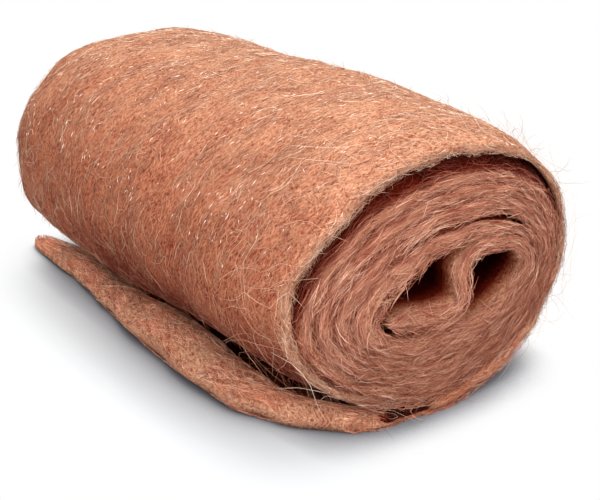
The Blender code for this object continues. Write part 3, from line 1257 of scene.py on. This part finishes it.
@dataclass
class StudioSetting:
    """The pale floor, the soft lamps and the camera.

    Each of lamps is its name, its place, its width, its power in watts and its colour.
    """

    azimuth: float = math.radians(-37.693)
    elevation: float = math.radians(27.083)
    distance: float = 0.359085
    target: Point = (0.008466, -0.00013, 0.010883)
    lens: float = 103.31
    floor_size: float = 3.0
    shadow_reach: float = 0.012
    shadow_stops: tuple[tuple[float, str], ...] = ((0.3, "50535b"), (0.6, "9ba0a8"), (1.0, "c4cbd2"))
    open_floor: Span = (0.5, 0.95)
    clear_centre: Point = (-0.028, -0.005, 0.0)
    clear_shape: Point = (0.4545, 1.0, 1.0)
    clear_span: Span = (0.036, 0.070)
    least_clear: float = 0.03
    sky_tint: str = "fffcf8"
    sky_strength: float = 0.52
    lamp_target: Point = (0, 0, 0.02)
    lamps: tuple[tuple[str, Point, float, float, str], ...] = (
        ("top_softbox", (0.10, 0.08, 0.60), 0.50, 3.4, "fff6ea"),
        ("front_softbox", (-0.10, -0.57, 0.42), 0.5, 4.9, "fffaf4"),
        ("left_softbox", (-0.48, -0.22, 0.48), 0.4, 3.5, "fffaf4"),
    )

    def camera(self) -> Object:
        """Sets the camera up where the photograph was taken from.

        Returns:
            The camera.
        """
        data = bpy.data.cameras.new("camera")
        data.lens = self.lens
        data.sensor_width = 36
        data.clip_start = 0.01
        camera = bpy.data.objects.new("camera", data)
        bpy.context.scene.collection.objects.link(camera)
        flat = math.cos(self.elevation)
        back = Vector((math.sin(self.azimuth) * flat, -math.cos(self.azimuth) * flat, math.sin(self.elevation)))
        camera.location = Vector(self.target) + back * self.distance
        camera.rotation_euler = back.to_track_quat("Z", "Y").to_euler()
        bpy.context.scene.camera = camera
        return camera

    def lamp(self, name: str, place: Point, size: float, power: float, tint: str) -> None:
        """Hangs a square soft lamp that points at the roll.

        Args:
            name: The lamp's name.
            place: Where it hangs, in metres.
            size: Its width.
            power: Its power in watts.
            tint: Its colour as an sRGB hex value.
        """
        data = bpy.data.lights.new(name, "AREA")
        data.size = size
        data.energy = power
        data.color = linear(tint)[:3]
        lamp = bpy.data.objects.new(name, data)
        bpy.context.scene.collection.objects.link(lamp)
        lamp.location = place
        lamp.rotation_euler = (Vector(place) - Vector(self.lamp_target)).to_track_quat("Z", "Y").to_euler()

    def floor(self) -> Object:
        """Lays the pale floor, which clears to white away from the roll.

        Returns:
            The floor.
        """
        bpy.ops.object.select_all(action="DESELECT")
        bpy.ops.mesh.primitive_plane_add(size=self.floor_size)
        floor = bpy.context.active_object
        floor.name = floor.data.name = "floor"
        # White paper: a plain pale ground that keeps the roll's soft shadow and shows no edge; near the roll its
        # colour darkens by ambient occlusion, a painted contact shadow
        material = bpy.data.materials.new("white_paper")
        material.use_nodes = True
        tree = material.node_tree
        tree.nodes.remove(tree.nodes["Principled BSDF"])
        stretched = add_node(
            tree, "ShaderNodeMapping", {"vector_type": "TEXTURE"},
            Vector=add_node(tree, "ShaderNodeTexCoord").outputs["Object"],
            Location=self.clear_centre, Scale=self.clear_shape,
        ).outputs["Vector"]
        away = add_node(tree, "ShaderNodeVectorMath", {"operation": "LENGTH"}, Vector_0=stretched).outputs["Value"]
        # Painted contact shadow: the paper's colour darkens where the roll hides the air near by
        near = add_node(tree, "ShaderNodeAmbientOcclusion", {"samples": 8}, Distance=self.shadow_reach).outputs["AO"]
        clear = eased(tree, away, self.clear_span, self.least_clear)
        cleared = maths(tree, "MULTIPLY", clear, eased(tree, near, self.open_floor))
        path = add_node(tree, "ShaderNodeLightPath")
        seen = maths(tree, "MULTIPLY", cleared, path.outputs["Is Camera Ray"])
        paper = add_node(tree, "ShaderNodeBsdfDiffuse", Color=colour_ramp(tree, near, *self.shadow_stops))
        white = add_node(tree, "ShaderNodeEmission", Color=linear("ffffff"), Strength=1.0)
        mixed = add_node(
            tree, "ShaderNodeMixShader",
            Input_0=seen, Input_1=paper.outputs["BSDF"], Input_2=white.outputs["Emission"],
        )
        tree.links.new(mixed.outputs["Shader"], tree.nodes["Material Output"].inputs["Surface"])
        floor.data.materials.append(material)
        return floor

    def sky(self) -> None:
        """Lights the scene all round, and shows white to the camera."""
        world = bpy.data.worlds.new("studio")
        world.use_nodes = True
        tree = world.node_tree
        glow = tree.nodes["Background"]
        glow.inputs["Color"].default_value = linear(self.sky_tint)
        path = add_node(tree, "ShaderNodeLightPath")
        seen = path.outputs["Is Camera Ray"]
        for other in ("Is Glossy Ray", "Is Transmission Ray"):
            seen = maths(tree, "MAXIMUM", seen, path.outputs[other])
        strength = add_node(tree, "ShaderNodeMapRange", Value=seen, To_Min=self.sky_strength, To_Max=1.0)
        tree.links.new(strength.outputs["Result"], glow.inputs["Strength"])
        bpy.context.scene.world = world

    def build(self) -> None:
        """Sets up everything round the roll."""
        bpy.context.scene.view_settings.view_transform = "Standard"
        self.floor()
        self.sky()
        self.camera()
        for lamp in self.lamps:
            self.lamp(*lamp)


@dataclass
class CopperWoolRoll:
    """The whole roll: its matted body and its layers of fibres."""

    winding: Winding = field(default_factory=Winding)

    def layers(self, wool: Wool) -> list[FibreLayer]:
        """Lists the layers of fibres: short dashes that cover the mat, longer fibres on them, glints and strays.

        Args:
            wool: The wool that they lie on.

        Returns:
            The layers.
        """
        strip = wool.strip
        half = self.winding.strip_width / 2
        width = (-half, half)
        wrap = (strip.contact - 0.006, strip.at_angle(FULL_TURN) + 0.008)
        inside = (strip.at_angle(math.radians(325)), strip.full_length)
        slack = strip.between(45, 345)
        fibres = partial(FibreLayer, wool)
        dashes = partial(fibres, steps=1, bow_mm=0.0)
        cover = partial(
            dashes, s_range=wrap, y_range=width, length_mm=(0.8, 2.6), thick_mm=(0.12, 0.22), heading=26,
            wild_share=0.35, off_mm=(-0.07, 0.06), lift_mm=0.03, shade=(0.50, 0.14),
        )
        rim = partial(dashes, wild_share=0.2, off_mm=(-0.05, 0.05), lift_mm=0.03, past_edge_mm=0.7)
        rim_inside = partial(
            rim, face_range=(-1.25, 1.25), length_mm=(0.9, 3.0), thick_mm=(0.10, 0.18), heading=11,
            shade=(0.48, 0.13), place=Place.END,
        )
        combed = partial(
            fibres, thick_mm=(0.07, 0.12), heading=7, wild_share=0.12, bow_mm=0.2, off_mm=(-0.08, 0.06),
            lift_mm=0.05, place=Place.END,
        )
        combed_inside = partial(
            combed, face_range=(-1.3, 1.3), face_drift=1.0, length_mm=(2, 6), past_edge_mm=0.8, steps=3,
            shade=(0.50, 0.12),
        )
        # The loose end lies in the roll's shade; its fibres get lighter shades and the sheltered copy of the colour:
        # painted light
        loose = dict(main_heading=84, heading=26, wild_share=0.25, wild_heading=90, place=Place.SHELTERED)
        loose_dashes = partial(dashes, thick_mm=(0.10, 0.19), off_mm=(-0.06, 0.07), shade=(0.56, 0.13), **loose)
        return [
            *(cover(f"wrap_dashes_{place + 1}", 100 + place, 19000) for place in range(3)),
            fibres(
                "wrap_fibres", 110, 2400, wrap, width, length_mm=(2.5, 7), thick_mm=(0.06, 0.10), heading=24,
                lift_mm=0.08, off_mm=(-0.06, 0.05), shade=(0.56, 0.13),
            ),
            combed_inside("near_end_fibres", 200, 8000, inside, (-half - 0.0008, -half + 0.0008)),
            combed_inside("far_end_fibres", 300, 3200, inside, (half - 0.0008, half + 0.0008)),
            rim_inside("near_end_dashes", 210, 20000, inside, (-half - 0.0006, -half + 0.0012)),
            rim_inside("far_end_dashes", 310, 12000, inside, (half - 0.0012, half + 0.0006)),
            combed(
                "bridging_fibres", 220, 5000, (strip.at_angle(math.radians(690)), strip.full_length),
                (-half - 0.0005, -half + 0.0004), face_range=(0.9, 1.55), length_mm=(1.5, 5), past_edge_mm=0.6,
                steps=2, shade=(0.46, 0.12),
            ),
            # Dark fibres in the crescent gap: painted shade
            fibres(
                "gap_fibres", 230, 1400, strip.between(395, 680), (-half, -half + 0.006), length_mm=(1.5, 6),
                thick_mm=(0.07, 0.13), heading=10, wild_share=0.3, off_mm=(0.0, 1.3), lift_mm=0.3, bow_mm=0.4,
                steps=3, past_edge_mm=0.3, shade=(0.26, 0.12), place=Place.END,
            ),
            rim(
                "lip_dashes", 240, 5200, slack, (-half - 0.0007, -half + 0.0012), face_range=(-0.6, 1.0),
                length_mm=(0.8, 2.4), thick_mm=(0.11, 0.20), heading=24, shade=(0.48, 0.14),
            ),
            rim(
                "loose_edge_dashes", 250, 2200, (0.0, strip.at_angle(math.radians(45))),
                (-half - 0.0007, -half + 0.0008), face_range=(-1.1, 1.0), length_mm=(0.8, 2.6),
                thick_mm=(0.10, 0.18), heading=16, shade=(0.50, 0.14), place=Place.SHELTERED,
            ),
            fibres(
                "tail_fibres", 400, 3000, (0.0, strip.contact - 0.017), width, face_range=(-1.0, -1.0),
                length_mm=(2.5, 8), thick_mm=(0.07, 0.12), off_mm=(-0.05, 0.08), lift_mm=0.1, bow_mm=0.6,
                steps=3, shade=(0.60, 0.13), **loose,
            ),
            loose_dashes(
                "tail_dashes", 410, 19000, (0.0, strip.contact - 0.016), width, face_range=(-1.0, -1.0),
                length_mm=(0.8, 2.6), lift_mm=0.04,
            ),
            loose_dashes(
                "tail_front_dashes", 420, 7000, (0.0, 0.0052), width, both_faces=True, length_mm=(0.8, 2.8),
                lift_mm=0.05,
            ),
            # Painted highlights: near-white fibres, only over the top of the roll, where the light falls
            fibres(
                "glints", 500, 600, strip.between(90, 250), width, length_mm=(0.4, 1.3), thick_mm=(0.08, 0.13),
                steps=2, off_mm=(0.03, 0.10), lift_mm=0.04, bare_share=1.0, bow_mm=0.05,
            ),
            fibres(
                "stray_fibres", 600, 900, wrap, width, length_mm=(2, 6), thick_mm=(0.05, 0.08), wild_share=0.6,
                free_end_mm=1.3, shade=(0.7, 0.1),
            ),
            fibres(
                "lip_strays", 620, 420, slack, (-half - 0.0008, -half + 0.0012), face_range=(-0.8, 0.4),
                length_mm=(1.5, 4.5), thick_mm=(0.05, 0.09), heading=45, wild_share=0.5, free_end_mm=0.8,
                bow_mm=0.6, past_edge_mm=1.1, shade=(0.52, 0.14),
            ),
            fibres(
                "near_end_strays", 610, 260, (strip.at_angle(0.6), strip.at_angle(FULL_TURN + 1)),
                (-half - 0.001, -half + 0.012), length_mm=(4, 16), thick_mm=(0.04, 0.07), steps=7, heading=35,
                wild_share=0.5, free_end_mm=5.0, bow_mm=2.0, past_edge_mm=5.0, shade=(0.75, 0.1),
            ),
        ]

    def build(self) -> list[Object]:
        """Makes every piece of the roll and puts it in the CAD node's place.

        Returns:
            The pieces.
        """
        strip = Strip(self.winding)
        wool = Wool(strip)
        body = MattedStrip(wool, MattedCopperWool()).build()
        # The end copy is painted shade, redder and darker; the sheltered copy is painted light, lighter and redder,
        # for the loose end in the roll's shade
        finishes = {
            Place.OPEN: CopperFibre(),
            Place.END: CopperFibre("end_copper_fibre_painted_shade", dark="843e32", middle="be8068", light="e8bda6"),
            Place.SHELTERED: CopperFibre("sheltered_copper_fibre_painted_light", dark="8c3e2a", middle="dc8664", light="f8c6a8"),
        }
        fibres = {place: finish.build() for place, finish in finishes.items()}
        pieces = [body, *[layer.build(fibres[layer.place]) for layer in self.layers(wool)]]
        total = 0
        for piece in pieces:
            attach(piece, BODY)
            piece.data.calc_loop_triangles()
            total += len(piece.data.loop_triangles)
            log.info("%s: %d triangles", piece.name, len(piece.data.loop_triangles))
        log.info("in all: %d triangles", total)
        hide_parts(NODE)
        return pieces


def main() -> None:
    """Builds the roll and its setting."""
    logging.basicConfig(level=logging.INFO, format="%(name)s %(message)s")
    StudioSetting().build()
    CopperWoolRoll().build()
    bpy.context.view_layer.update()


if __name__ == "__main__":
    main()
